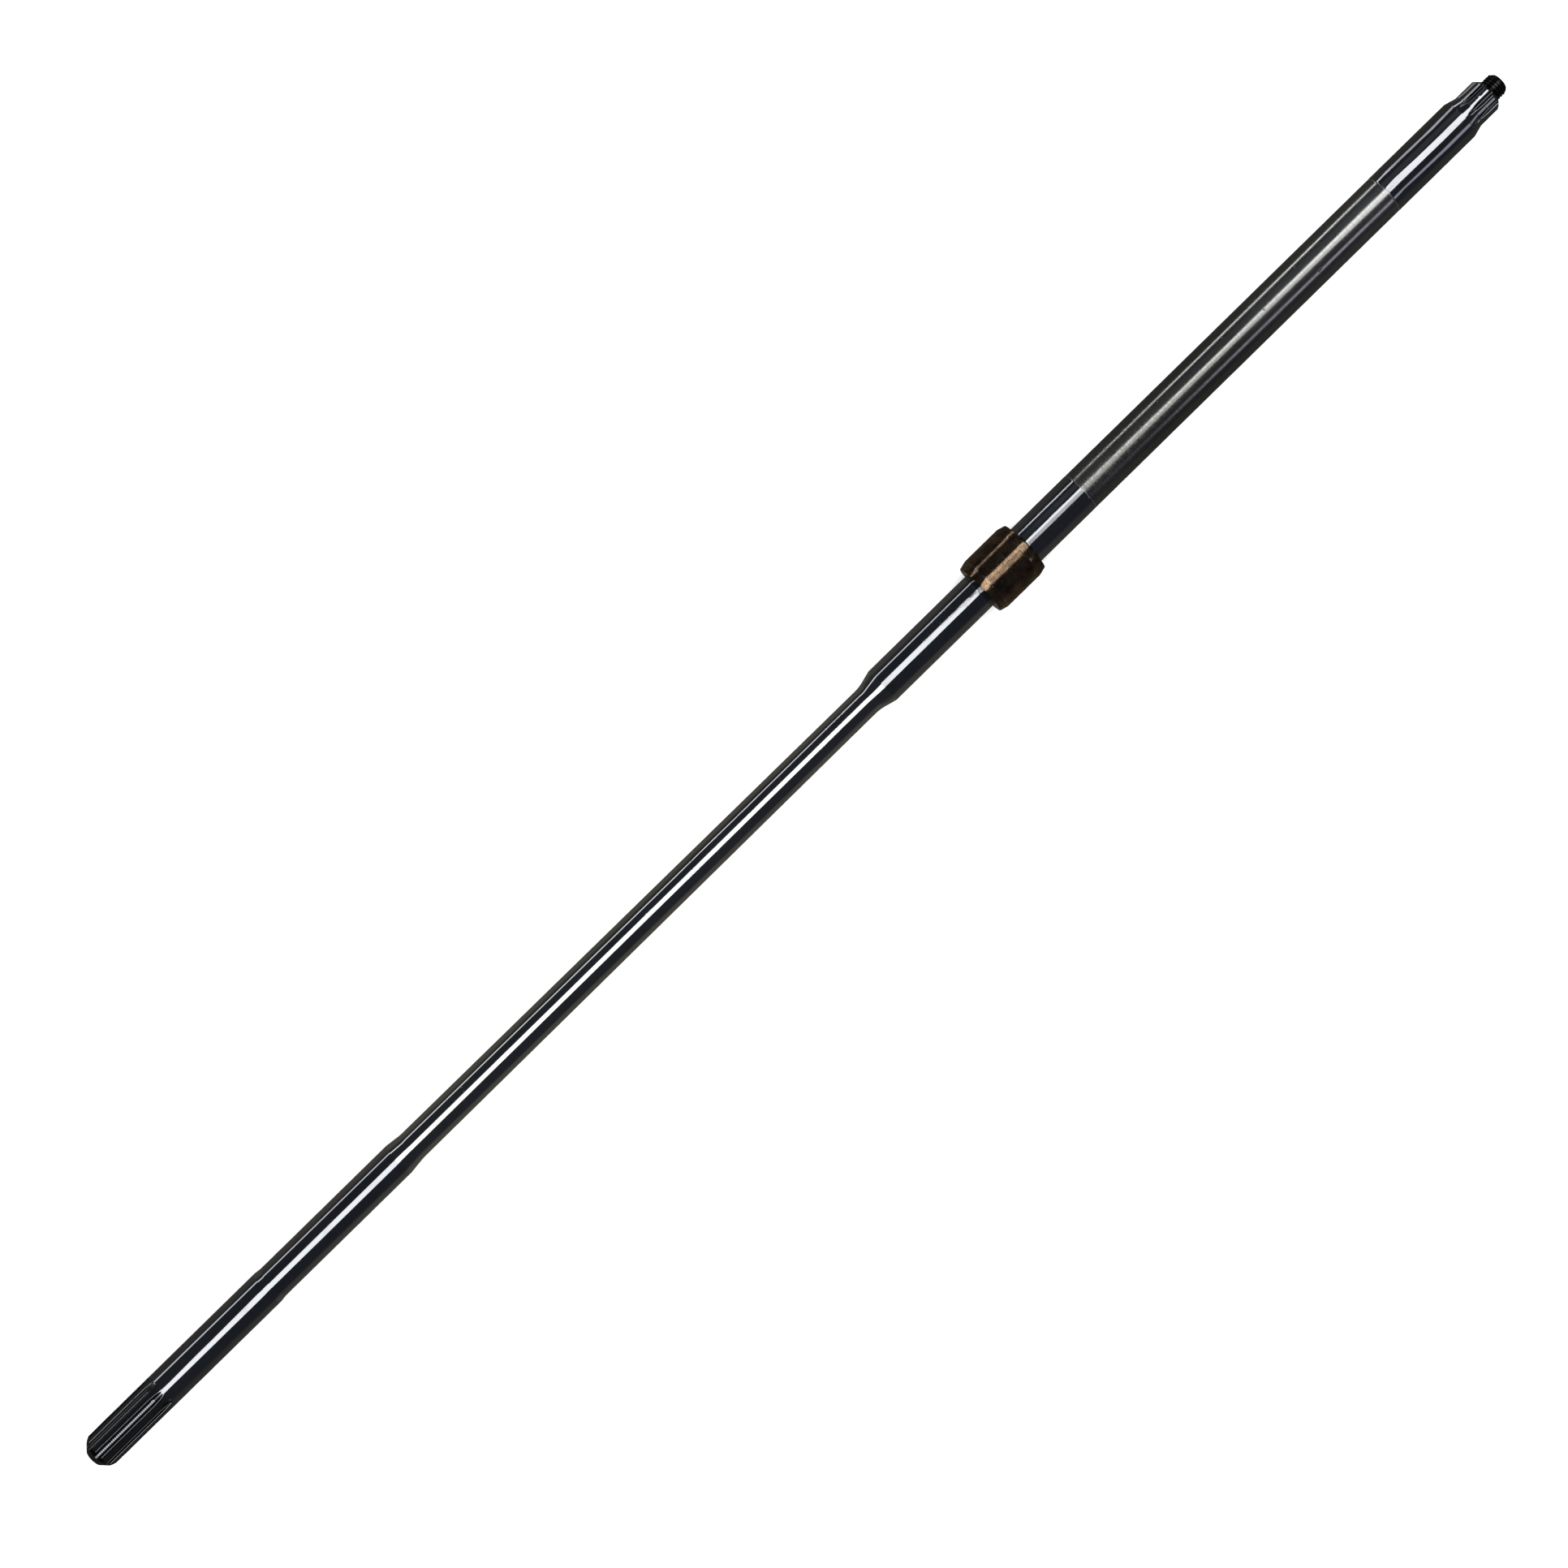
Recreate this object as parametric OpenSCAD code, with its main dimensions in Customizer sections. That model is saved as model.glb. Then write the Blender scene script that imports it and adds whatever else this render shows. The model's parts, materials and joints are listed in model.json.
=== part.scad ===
// Splined drive shaft with one support bush, in millimetres.
//
// The shaft lies along X, with its thin splined head at -X and its pinion end at +X.
// The origin is on the shaft's axis, at the middle of the bush. +Z is up.
// Every x_ value below is a distance along the shaft from that origin, and every r_ is a radius.
// The shaft is one bar of steel, turned and ground. The bush is a separate ring that runs on it.

/* [Overall] */
// From the middle of the bush to the end face of the splined head
head_reach = 501.2; // [480:0.1:520]
// From the middle of the bush to the tip of the threaded stub
tail_reach = 274.0; // [270:0.1:300]
// Diameter of the lower shaft, where its two bearings run
journal_d = 17.4; // [16.8:0.1:18.0]

/* [Head spline] */
// Number of teeth on the head
head_teeth = 9; // [8:1:10]
// Diameter over the teeth, which the land behind them shares
head_d = 15.28; // [15.0:0.02:15.6]
// Depth of the grooves between the teeth
head_depth = 1.35; // [0.9:0.05:1.5]
// Width of a groove where it opens
head_mouth = 3.2; // [2.2:0.1:3.4]
// Width of a groove at its floor
head_floor = 1.6; // [0.8:0.1:1.7]
// Length of full-depth groove, from the end face
head_full = 32.7; // [24:0.1:40]
// Turn of the first groove away from straight up, in degrees
head_turn = 4; // [-18:0.1:18]
// Diameter of the flat end face of the head
head_face_d = 7.8; // [6:0.1:10]
// Length of the 45 degree cone behind that face
head_nose = 3.0; // [2:0.1:3.5]
// From the end face to where the crests reach their full diameter
head_lead = 4.5; // [4:0.1:6]

/* [Head lands] */
// From the end face to the small cone between the two lands
land_1_end = 96.1; // [80:0.1:110]
// Length of that small cone
land_cone = 2.9; // [1:0.1:5]
// Diameter of the second land
land_2_d = 14.56; // [14.0:0.02:15.0]
// From the end face to the taper behind the second land
land_2_end = 168.4; // [150:0.1:185]
// Length of the taper down to the slim shank
head_taper = 7.0; // [5:0.1:10]

/* [Slim shank] */
// Diameter of the shank at its head end
shank_d_head = 12.9; // [12:0.1:13.5]
// Diameter of the shank at its bush end
shank_d_tail = 12.0; // [11.5:0.1:12.8]
// Where the taper up to the bush land ends, ahead of the bush's middle
shank_end = 66.2; // [50:0.1:80]
// Slope of that taper, in degrees
shank_slope = 15; // [12:1:20]
// Radius of the fillets where the tapers meet the shank
shank_fillet = 18; // [8:1:24]

/* [Bush seat] */
// Diameter of the land that the bush passes over
bush_land_d = 15.84; // [15.82:0.01:15.86]
// Diameter of the ground seat that the bush runs on
seat_d = 15.80; // [15.70:0.01:15.81]
// Length of bare seat that shows ahead of the bush
seat_show = 1.7; // [0.5:0.1:4]
// End play between the bush and the shoulder
bush_play = 0.25; // [0.1:0.05:0.5]
// Chamfer on the shoulder
shoulder_chamfer = 0.4; // [0.2:0.1:0.6]

/* [Support bush] */
// Outside diameter of the bush
bush_d = 24.6; // [22:0.1:26]
// Length of the bush
bush_len = 24.5; // [18:0.5:28]
// Bore of the bush
bush_bore_d = 15.88; // [15.87:0.01:15.92]
// Length of the shallow lead chamfer at each end
bush_lead = 3.4; // [2:0.1:5]
// How far each lead chamfer goes in
bush_lead_in = 0.9; // [0.5:0.1:1.5]
// Edge break at each end of the bore
bush_edge = 0.5; // [0.3:0.1:0.8]

/* [Lower shaft] */
// Where the upper journal ends and the turned middle starts
journal_1_end = 43.1; // [35:0.1:60]
// Where the turned middle ends and the lower journal starts
journal_2_start = 209.8; // [190:0.1:225]
// How much smaller in radius the turned middle is than the ground journals
middle_relief = 0.03; // [0.02:0.01:0.06]
// Width of the fine V ring that ends each ground journal
ring_w = 0.6; // [0.55:0.05:1]
// Depth of that ring
ring_depth = 0.1; // [0.08:0.01:0.2]
// Where the lower journal ends and the cone down to the pinion spline starts
journal_2_end = 252.0; // [245:0.1:256]

/* [Pinion spline] */
// Number of teeth on the pinion end
pinion_teeth = 10; // [8:1:12]
// Diameter over the teeth
pinion_d = 14.72; // [14.4:0.02:15.0]
// Depth of the grooves between the teeth
pinion_depth = 1.25; // [0.9:0.05:1.4]
// Width of a groove where it opens
pinion_mouth = 2.4; // [2.0:0.1:2.8]
// Width of a groove at its floor
pinion_floor = 1.0; // [0.8:0.1:1.4]
// Where the teeth start, at the foot of the cone
pinion_start = 256.8; // [254:0.1:259]
// Where the grooves reach full depth
pinion_full = 261.5; // [259:0.1:264]
// Where the teeth end
pinion_end = 266.2; // [264:0.1:267]
// Turn of the first groove away from straight up, in degrees
pinion_turn = 7; // [-18:0.1:18]

/* [Threaded stub] */
// Nominal diameter of the thread
thread_d = 10; // [9:1:11]
// Pitch of the thread
thread_pitch = 1.25; // [1:0.25:1.5]
// Where the thread starts, behind the spline's end chamfer
thread_start = 268.0; // [267.5:0.1:269]
// Length of the chamfer on the tip
tip_chamfer = 1.4; // [0.5:0.1:1.6]
// How far that chamfer goes in from the thread's crest
tip_chamfer_in = 1.2; // [0.5:0.1:1.5]

/* [Hidden] */
$fn = 96;

// Radii
r_head = head_d / 2;
r_head_face = head_face_d / 2;
r_land_2 = land_2_d / 2;
r_shank_head = shank_d_head / 2;
r_shank_tail = shank_d_tail / 2;
r_bush_land = bush_land_d / 2;
r_seat = seat_d / 2;
r_journal = journal_d / 2;
r_middle = r_journal - middle_relief;
r_ring = r_journal - ring_depth;
r_pinion = pinion_d / 2;
r_bush = bush_d / 2;
r_bore = bush_bore_d / 2;

// How far the thread's crest is under its nominal radius, as a cut thread's is
crest_under = 0.1;
// Depth of a metric thread's foot below its nominal radius, as a share of the pitch
thread_depth_share = 0.614;
r_thread = thread_d / 2 - crest_under;
r_thread_root = thread_d / 2 - thread_depth_share * thread_pitch;

// Places along the shaft
x_head = -head_reach;
x_head_full = x_head + head_full;
x_land_1 = x_head + land_1_end;
x_land_2 = x_head + land_2_end;
x_shank_head = x_land_2 + head_taper;
x_bush_land = -shank_end;
x_seat = -bush_len / 2 - seat_show;
x_shoulder = bush_len / 2 + bush_play;
x_thread_land = pinion_end + (r_pinion - r_thread);
x_tip = tail_reach;
x_tip_chamfer = x_tip - tip_chamfer;

// Where the slope up to the bush land would meet the shank without its fillet
x_shank_tail = x_bush_land - (r_bush_land - r_shank_tail) / tan(shank_slope);
// Slope of the taper behind the second land, in degrees
head_slope = atan((r_land_2 - r_shank_head) / head_taper);
// Straight steps that each fillet is drawn with
fillet_steps = 8;

// Radius of the hob, whose curve ends each groove in a run-out
head_hob_r = 18;
pinion_hob_r = 15;

// Drill and 60 degree countersink of the lathe centres in both ends
centre_drill_r = 1.0;
centre_mouth_r = 2.1;
centre_drill_depth = 4.5;

// How far the groove cutters reach above the crests, which takes them clear of the cone's top
groove_rise = 2;
// How far cutters reach past what they cut
over = 1;

// Turns a shape drawn about Z so that it lies along X
module along_x() {
    rotate([0, 90, 0]) children();
}

// Points round the fillet where a cylinder of radius r meets a slope at x, from the cylinder's side.
// side is 1 where the slope rises towards +X, and -1 where it rises towards -X.
function fillet_points(x, r, slope, fillet_r, side) = [
    for (i = [0 : fillet_steps])
        let (a = slope * i / fillet_steps)
            [
                r + fillet_r * (1 - cos(a)),
                x - side * fillet_r * (tan(slope / 2) - sin(a))
            ]
];

// The same points in the other order
function reversed(points) = [for (i = [len(points) - 1 : -1 : 0]) points[i]];

// The turned outline of the whole shaft, as radius against distance along it
module shaft_outline() {
    head_fillet = fillet_points(x_shank_head, r_shank_head, head_slope, shank_fillet, -1);
    tail_fillet = fillet_points(x_shank_tail, r_shank_tail, shank_slope, shank_fillet, 1);
    head_side = [
        [0, x_head],
        [r_head_face, x_head],
        [r_head_face + head_nose, x_head + head_nose],
        [r_head, x_head + head_lead],
        [r_head, x_land_1],
        [r_land_2, x_land_1 + land_cone],
        [r_land_2, x_land_2]
    ];
    tail_side = [
        [r_bush_land, x_bush_land],
        [r_bush_land, x_seat],
        [r_seat, x_seat],
        [r_seat, x_shoulder],
        [r_journal - shoulder_chamfer, x_shoulder],
        [r_journal, x_shoulder + shoulder_chamfer],
        [r_journal, journal_1_end - ring_w / 2],
        [r_ring, journal_1_end],
        [r_middle, journal_1_end + ring_w / 2],
        [r_middle, journal_2_start - ring_w / 2],
        [r_ring, journal_2_start],
        [r_journal, journal_2_start + ring_w / 2],
        [r_journal, journal_2_end],
        [r_pinion, pinion_start],
        [r_pinion, pinion_end],
        [r_thread, x_thread_land],
        [r_thread, x_tip_chamfer],
        [r_thread - tip_chamfer_in, x_tip],
        [0, x_tip]
    ];
    polygon(concat(head_side, reversed(head_fillet), tail_fillet, tail_side));
}

// Section of one spline groove, standing on its floor and open upwards past the crests
module groove_section(r_crest, depth, mouth, floor_w) {
    flare = (mouth - floor_w) / 2 / depth;
    top_w = floor_w / 2 + flare * (depth + groove_rise);
    polygon([
        [-floor_w / 2, r_crest - depth],
        [floor_w / 2, r_crest - depth],
        [top_w, r_crest + groove_rise],
        [-top_w, r_crest + groove_rise]
    ]);
}

// The hob's rim, which follows the groove's section and cuts the curved run-out at x
module hob(x, r_crest, depth, mouth, floor_w, hob_r) {
    hob_axis = r_crest - depth + hob_r;
    translate([x, 0, hob_axis]) rotate([90, 0, 0]) rotate_extrude($fn = 180)
        translate([hob_axis, 0]) mirror([1, 0]) rotate(-90)
            groove_section(r_crest, depth, mouth, floor_w);
}

// Cuts for the grooves round one spline: each runs straight from x_open to x_full, then out
module spline_cuts(n, turn, x_open, x_full, r_crest, depth, mouth, floor_w, hob_r) {
    for (k = [0 : n - 1]) {
        rotate([turn + k * 360 / n, 0, 0]) {
            translate([min(x_open, x_full), 0, 0]) rotate([90, 0, 90])
                linear_extrude(height = abs(x_full - x_open))
                    groove_section(r_crest, depth, mouth, floor_w);
            hob(x_full, r_crest, depth, mouth, floor_w, hob_r);
        }
    }
}

// The thread's grooves, one ring for each turn
module thread_cuts() {
    depth = r_thread - r_thread_root;
    turns = floor((x_tip - thread_start) / thread_pitch);
    for (k = [0 : turns]) {
        x = thread_start + (k + 0.5) * thread_pitch;
        along_x() rotate_extrude()
            polygon([
                [r_thread_root, x - thread_pitch / 8],
                [r_thread + over, x - thread_pitch / 8 - (depth + over) * tan(30)],
                [r_thread + over, x + thread_pitch / 8 + (depth + over) * tan(30)],
                [r_thread_root, x + thread_pitch / 8]
            ]);
    }
}

// A lathe centre, drilled inwards from the end face at x
module lathe_centre(x, inwards) {
    cone_len = (centre_mouth_r - centre_drill_r) / tan(30);
    along_x() rotate_extrude()
        polygon([
            [0, x - inwards * over],
            [centre_mouth_r + over * tan(30), x - inwards * over],
            [centre_drill_r, x + inwards * cone_len],
            [centre_drill_r, x + inwards * centre_drill_depth],
            [0, x + inwards * (centre_drill_depth + centre_drill_r * tan(30))]
        ]);
}

// The shaft: splined head, two lands, slim shank, bush seat, journals, pinion spline and thread
module drive_shaft() {
    color([0.30, 0.31, 0.33])
    difference() {
        along_x() rotate_extrude() shaft_outline();
        spline_cuts(head_teeth, head_turn, x_head - over, x_head_full, r_head, head_depth,
                    head_mouth, head_floor, head_hob_r);
        spline_cuts(pinion_teeth, pinion_turn, x_thread_land + over, pinion_full, r_pinion, pinion_depth,
                    pinion_mouth, pinion_floor, pinion_hob_r);
        thread_cuts();
        lathe_centre(x_head, 1);
        lathe_centre(x_tip, -1);
    }
}

// The bush: a plain ring with shallow lead chamfers outside and broken edges in its bore
module support_bush() {
    half = bush_len / 2;
    color([0.33, 0.25, 0.17])
    along_x() rotate_extrude()
        polygon([
            [r_bore, -half + bush_edge],
            [r_bore + bush_edge, -half],
            [r_bush - bush_lead_in, -half],
            [r_bush, -half + bush_lead],
            [r_bush, half - bush_lead],
            [r_bush - bush_lead_in, half],
            [r_bore + bush_edge, half],
            [r_bore, half - bush_edge]
        ]);
}

drive_shaft();
support_bush();
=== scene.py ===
import json
import math

import bpy
import numpy as np
from mathutils import Matrix, Vector


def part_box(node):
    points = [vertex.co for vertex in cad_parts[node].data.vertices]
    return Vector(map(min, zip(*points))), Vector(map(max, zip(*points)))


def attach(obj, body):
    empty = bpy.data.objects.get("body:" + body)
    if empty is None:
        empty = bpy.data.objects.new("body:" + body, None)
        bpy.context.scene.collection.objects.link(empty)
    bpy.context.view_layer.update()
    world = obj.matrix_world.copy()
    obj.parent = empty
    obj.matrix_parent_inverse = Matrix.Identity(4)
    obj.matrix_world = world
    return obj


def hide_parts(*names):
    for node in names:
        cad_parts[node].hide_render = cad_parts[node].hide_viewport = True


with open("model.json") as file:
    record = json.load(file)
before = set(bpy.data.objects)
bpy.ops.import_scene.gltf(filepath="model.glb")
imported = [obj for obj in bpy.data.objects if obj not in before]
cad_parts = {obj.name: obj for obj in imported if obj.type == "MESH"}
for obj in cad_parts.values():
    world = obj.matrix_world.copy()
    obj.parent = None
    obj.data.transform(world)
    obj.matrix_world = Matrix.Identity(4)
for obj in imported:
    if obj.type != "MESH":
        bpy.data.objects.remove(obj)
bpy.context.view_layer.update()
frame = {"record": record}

# Looks for a splined drive shaft and its bronze bush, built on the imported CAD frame.
# Lengths are in millimetres until a mesh is made, and angles run round +X from straight up.
MM = 0.001
FULL_TURN = 2 * math.pi
rng = np.random.default_rng(41)

# ---------------------------------------------------------------- sizes from the frame

MOUNTS = {m["name"]: m for m in frame["record"]["mounts"]}
shaft_low, shaft_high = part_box("drive_shaft")
bush_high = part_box("support_bush")[1]

X_HEAD = shaft_low.x / MM
X_TIP = shaft_high.x / MM
R_HEAD = MOUNTS["head_land"]["dims"]["r_mm"]
R_JOURNAL = MOUNTS["lower_journal"]["dims"]["r_mm"]
R_BUSH = MOUNTS["bush_outside"]["dims"]["r_mm"]
BUSH_HALF = bush_high.x / MM

# Turned outline, head to tip
HEAD_FACE_R = 3.9
HEAD_NOSE = 3.0
HEAD_LEAD = 4.5
X_LAND_1 = X_HEAD + 96.1
LAND_CONE = 2.9
R_LAND_2 = 7.28
X_LAND_2 = X_HEAD + 168.4
X_SHANK_HEAD = X_LAND_2 + 7.0
R_SHANK_HEAD = 6.45
R_SHANK_TAIL = 6.0
X_BUSH_LAND = -66.2
R_BUSH_LAND = 7.92
SHANK_SLOPE = math.radians(15)
SHANK_FILLET = 18
X_SEAT = -BUSH_HALF - 1.7
R_SEAT = 7.90
X_SHOULDER = BUSH_HALF + 0.25
SHOULDER_CHAMFER = 0.4
X_RING_1 = 43.1
X_RING_2 = 209.8
RING_HALF = 0.3
RING_DEPTH = 0.1
R_MIDDLE = R_JOURNAL - 0.03
X_CONE = 252.0
X_PINION = 256.8
R_PINION = 7.36
X_PINION_END = 266.2

# Spline grooves: depth, width at the mouth and at the floor, where they are at full depth,
# the radius of the hob that cut their run-outs, the turn of the first one, and the columns
# of the mesh over half a floor, as shares of it
HEAD_SPLINE = dict(teeth=9, crest=R_HEAD, depth=1.35, mouth=3.2, floor=1.6, full=X_HEAD + 32.7,
                   hob=18.0, turn=math.radians(4.0), way=1, floor_shares=(0.5, 0.88))
PINION_SPLINE = dict(teeth=10, crest=R_PINION, depth=1.25, mouth=2.4, floor=1.0, full=261.5,
                     hob=15.0, turn=math.radians(7.0), way=-1, floor_shares=(0.85,))
# The hob's feed marks: their spacing and their height
FEED = 0.92
FEED_HEIGHT = 0.035
# How many marks before the full-depth end they stop, and how high they are on a groove's sides
MARKS_SHORT = 1.2
MARKS_ON_SIDES = 0.3
# Radius of the slight hollow across a groove's floor
FLOOR_HOLLOW = 2.6
# How far past its full-depth end a groove is cut into the outline
GROOVE_REACH = 12
# Radii between which a groove's surface is searched for, and how many times each search is halved
GROOVE_SEARCH = (3.0, 13.0)
GROOVE_HALVINGS = 34
MOUTH_HALVINGS = 30
# Small dents along the tooth crests of each spline, and on the bush's rims
HEAD_DENTS = 60
PINION_DENTS = 24
BUSH_DENTS = 26

# Nut thread
THREAD_R = 4.9
THREAD_ROOT = 4.2325
THREAD_PITCH = 1.25
THREAD_START = 268.0
TIP_CHAMFER = 1.4
TIP_CHAMFER_IN = 1.2
# Length over which the thread's first turn fades in, and how much shallower it starts
THREAD_FADE = 0.7
THREAD_FADE_RISE = 0.8
# Radius given to the thread's surface where there is no thread, which is outside the whole bar
NO_THREAD_R = 9.0

# Lathe centres
CENTRE_DRILL_R = 1.0
CENTRE_MOUTH_R = 2.1
CENTRE_DEPTH = 4.5

# Bush
BUSH_LEAD = 3.4
BUSH_LEAD_IN = 0.9
BUSH_BORE_R = 7.94
BUSH_EDGE = 0.5

# Radius of the small rounding on a worn edge
EDGE = 0.12
# The least turn of the outline that counts as a corner, where a fillet's own small steps don't
SHARP_TURN = math.radians(3)
# Where the mesh's columns start to even out between the splines, over what length, and the last or
# first place where they are still worked out from a spline
HEAD_EVEN = dict(start=X_LAND_1 - 45, length=40, last=X_LAND_1 - 20)
PINION_EVEN = dict(start=X_CONE - 45, length=35, first=X_CONE - 20)
# Columns of the shaft's mesh: 20 to each tooth of the head and 18 to each of the pinion end
COLUMNS = 180
# Rows of the shaft's mesh: their spacing on the head's run-outs, how far those go past the full-depth
# end, the spacing on the plain stretches, and how far from the head's end face those start
RUN_OUT_STEP = 0.3
RUN_OUT = 7.6
PLAIN_STEP = 24
PLAIN_START = 45


# ---------------------------------------------------------------- the shaft's mesh

def fillet(x, r, slope, side):
    """Points (x, r) of the fillet where a cylinder meets a slope at x, from the cylinder's side."""
    angles = np.linspace(0, slope, 9)
    return [(x - side * SHANK_FILLET * (math.tan(slope / 2) - math.sin(a)),
             r + SHANK_FILLET * (1 - math.cos(a))) for a in angles]


def turned_outline():
    """The shaft's turned outline as points (x, r), from the head's end face to the tip."""
    head_slope = math.atan((R_LAND_2 - R_SHANK_HEAD) / (X_SHANK_HEAD - X_LAND_2))
    slope_foot = X_BUSH_LAND - (R_BUSH_LAND - R_SHANK_TAIL) / math.tan(SHANK_SLOPE)
    step = 0.005
    return [
        (X_HEAD, HEAD_FACE_R),
        (X_HEAD + HEAD_NOSE, HEAD_FACE_R + HEAD_NOSE),
        (X_HEAD + HEAD_LEAD, R_HEAD),
        (X_LAND_1, R_HEAD),
        (X_LAND_1 + LAND_CONE, R_LAND_2),
        (X_LAND_2, R_LAND_2),
        *reversed(fillet(X_SHANK_HEAD, R_SHANK_HEAD, head_slope, -1)),
        *fillet(slope_foot, R_SHANK_TAIL, SHANK_SLOPE, 1),
        (X_BUSH_LAND, R_BUSH_LAND),
        (X_SEAT - step, R_BUSH_LAND),
        (X_SEAT + step, R_SEAT),
        (X_SHOULDER, R_SEAT),
        (X_SHOULDER + step, R_JOURNAL - SHOULDER_CHAMFER),
        (X_SHOULDER + SHOULDER_CHAMFER, R_JOURNAL),
        (X_RING_1 - RING_HALF, R_JOURNAL),
        (X_RING_1, R_JOURNAL - RING_DEPTH),
        (X_RING_1 + RING_HALF, R_MIDDLE),
        (X_RING_2 - RING_HALF, R_MIDDLE),
        (X_RING_2, R_JOURNAL - RING_DEPTH),
        (X_RING_2 + RING_HALF, R_JOURNAL),
        (X_CONE, R_JOURNAL),
        (X_PINION, R_PINION),
        (X_PINION_END, R_PINION),
        (X_PINION_END + R_PINION - THREAD_R, THREAD_R),
        (X_TIP - TIP_CHAMFER, THREAD_R),
        (X_TIP, THREAD_R - TIP_CHAMFER_IN),
    ]


OUTLINE = np.array(turned_outline())


def turned_radius(x):
    """Radius of the turned outline at x, with its corners slightly worn round."""
    taps = np.linspace(-0.8, 0.8, 5) * EDGE
    inside = [np.clip(x + t, X_HEAD, X_TIP) for t in taps]
    return sum(np.interp(i, OUTLINE[:, 0], OUTLINE[:, 1]) for i in inside) / len(taps)


def soft_min(a, b, width):
    """The lesser of a and b, rounded over where they cross."""
    h = np.clip(width - np.abs(a - b), 0, None) / width
    return np.minimum(a, b) - h * h * width / 4


def hob_height(spline, x, z):
    """How far a point at height z over the axis is inside the hob that cut a groove at x."""
    past = np.clip(spline["way"] * (x - spline["full"]), 0, None)
    centre = spline["crest"] - spline["depth"] + spline["hob"]
    return spline["hob"] - np.hypot(past, centre - z)


def feed_mark(spline, x):
    """The hob's feed marks along a groove, 0 in each hollow and 1 on each ridge between two."""
    phase = np.mod((x - X_HEAD) / FEED, 1.0)
    fade = np.clip(spline["way"] * (spline["full"] - x) / FEED - MARKS_SHORT, 0, 1)
    return 4 * (phase - 0.5) ** 2 * fade


def groove_radius(spline, x, angle):
    """Radius at which a groove's surface starts, at angles measured from its middle."""
    flare = (spline["mouth"] - spline["floor"]) / 2 / spline["depth"]
    marks = FEED_HEIGHT * feed_mark(spline, x)
    past = np.clip(spline["way"] * (x - spline["full"]), 0, spline["hob"] * 0.9)
    floor_z = spline["crest"] - spline["depth"] + spline["hob"] - np.sqrt(spline["hob"] ** 2 - past ** 2)
    across = np.minimum(floor_z * np.abs(np.tan(angle)), spline["floor"] / 2)
    floor_r = (floor_z + marks + across ** 2 / (2 * FLOOR_HOLLOW)) / np.cos(angle)
    low = np.full(np.broadcast(x, angle).shape, GROOVE_SEARCH[0])
    high = np.full_like(low, GROOVE_SEARCH[1])
    for _ in range(GROOVE_HALVINGS):
        middle = (low + high) / 2
        height = hob_height(spline, x, middle * np.cos(angle))
        width = spline["floor"] / 2 - MARKS_ON_SIDES * marks + flare * height
        open_there = width > middle * np.abs(np.sin(angle))
        low = np.where(open_there, low, middle)
        high = np.where(open_there, middle, high)
    return -soft_min(-floor_r, -high, 0.25)


def mouth_angle(spline, x):
    """Half the angle that a groove is open over, at each x. Past its end, the hob's own half width."""
    flare = (spline["mouth"] - spline["floor"]) / 2 / spline["depth"]
    radius = turned_radius(x)
    low, high = np.zeros_like(x), np.full_like(x, math.pi / spline["teeth"])
    for _ in range(MOUTH_HALVINGS):
        middle = (low + high) / 2
        height = np.clip(hob_height(spline, x, radius * np.cos(middle)), 0, None)
        open_there = spline["floor"] / 2 + flare * height > radius * np.sin(middle)
        low = np.where(open_there, middle, low)
        high = np.where(open_there, high, middle)
    return low


def tooth_columns(spline, x):
    """Angles of the columns over one tooth pitch at each x, from the middle of one groove to the next.
    They follow the groove's floor corners and crest edges, so those stay crisp."""
    half_pitch = math.pi / spline["teeth"]
    mouth = mouth_angle(spline, x)[:, None]
    floor = np.minimum(spline["floor"] / 2 / (spline["crest"] - spline["depth"]), mouth * 0.8)
    near = EDGE / spline["crest"]
    side = np.concatenate([
        *[floor * share for share in spline["floor_shares"]],
        floor + 0.15 * (mouth - floor),
        floor + 0.40 * (mouth - floor),
        floor + 0.72 * (mouth - floor),
        mouth - 0.5 * near,
        mouth + 0.5 * near,
        mouth + 1.6 * near,
        mouth + 0.5 * (half_pitch - mouth),
    ], axis=1)
    middle = np.zeros_like(mouth)
    crest = np.full_like(mouth, half_pitch)
    return np.concatenate([middle, side, crest, 2 * half_pitch - side[:, ::-1]], axis=1)


def all_columns(spline, x):
    """Angles of every column round the shaft at each x."""
    pitch = FULL_TURN / spline["teeth"]
    tooth = tooth_columns(spline, x)
    return np.concatenate([tooth + spline["turn"] + k * pitch for k in range(spline["teeth"])], axis=1)


def column_angles(x):
    """Column angles at each x: they follow the grooves at both ends and even out between them."""
    at_head = all_columns(HEAD_SPLINE, np.minimum(x, HEAD_EVEN["last"]))
    at_pinion = all_columns(PINION_SPLINE, np.maximum(x, PINION_EVEN["first"]))
    even = HEAD_SPLINE["turn"] + np.arange(COLUMNS) * FULL_TURN / COLUMNS
    to_even = np.clip((x - HEAD_EVEN["start"]) / HEAD_EVEN["length"], 0, 1)[:, None]
    to_pinion = np.clip((x - PINION_EVEN["start"]) / PINION_EVEN["length"], 0, 1)[:, None]
    angles = at_head * (1 - to_even) + even * to_even
    return angles * (1 - to_pinion) + at_pinion * to_pinion


def thread_radius(x, angle):
    """Radius of the right-hand nut thread's surface, which fades in over its first half turn or so."""
    turns = (x - THREAD_START) / THREAD_PITCH - angle / FULL_TURN
    from_root = np.abs(np.mod(turns, 1.0) - 0.5) * THREAD_PITCH
    rise = np.clip(from_root - THREAD_PITCH / 8, 0, None) / math.tan(math.radians(30))
    fade_in = np.clip((THREAD_START + THREAD_FADE - x) / THREAD_FADE, 0, 1)
    return THREAD_ROOT + rise + THREAD_FADE_RISE * fade_in + np.where(x < THREAD_START, NO_THREAD_R, 0.0)


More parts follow.
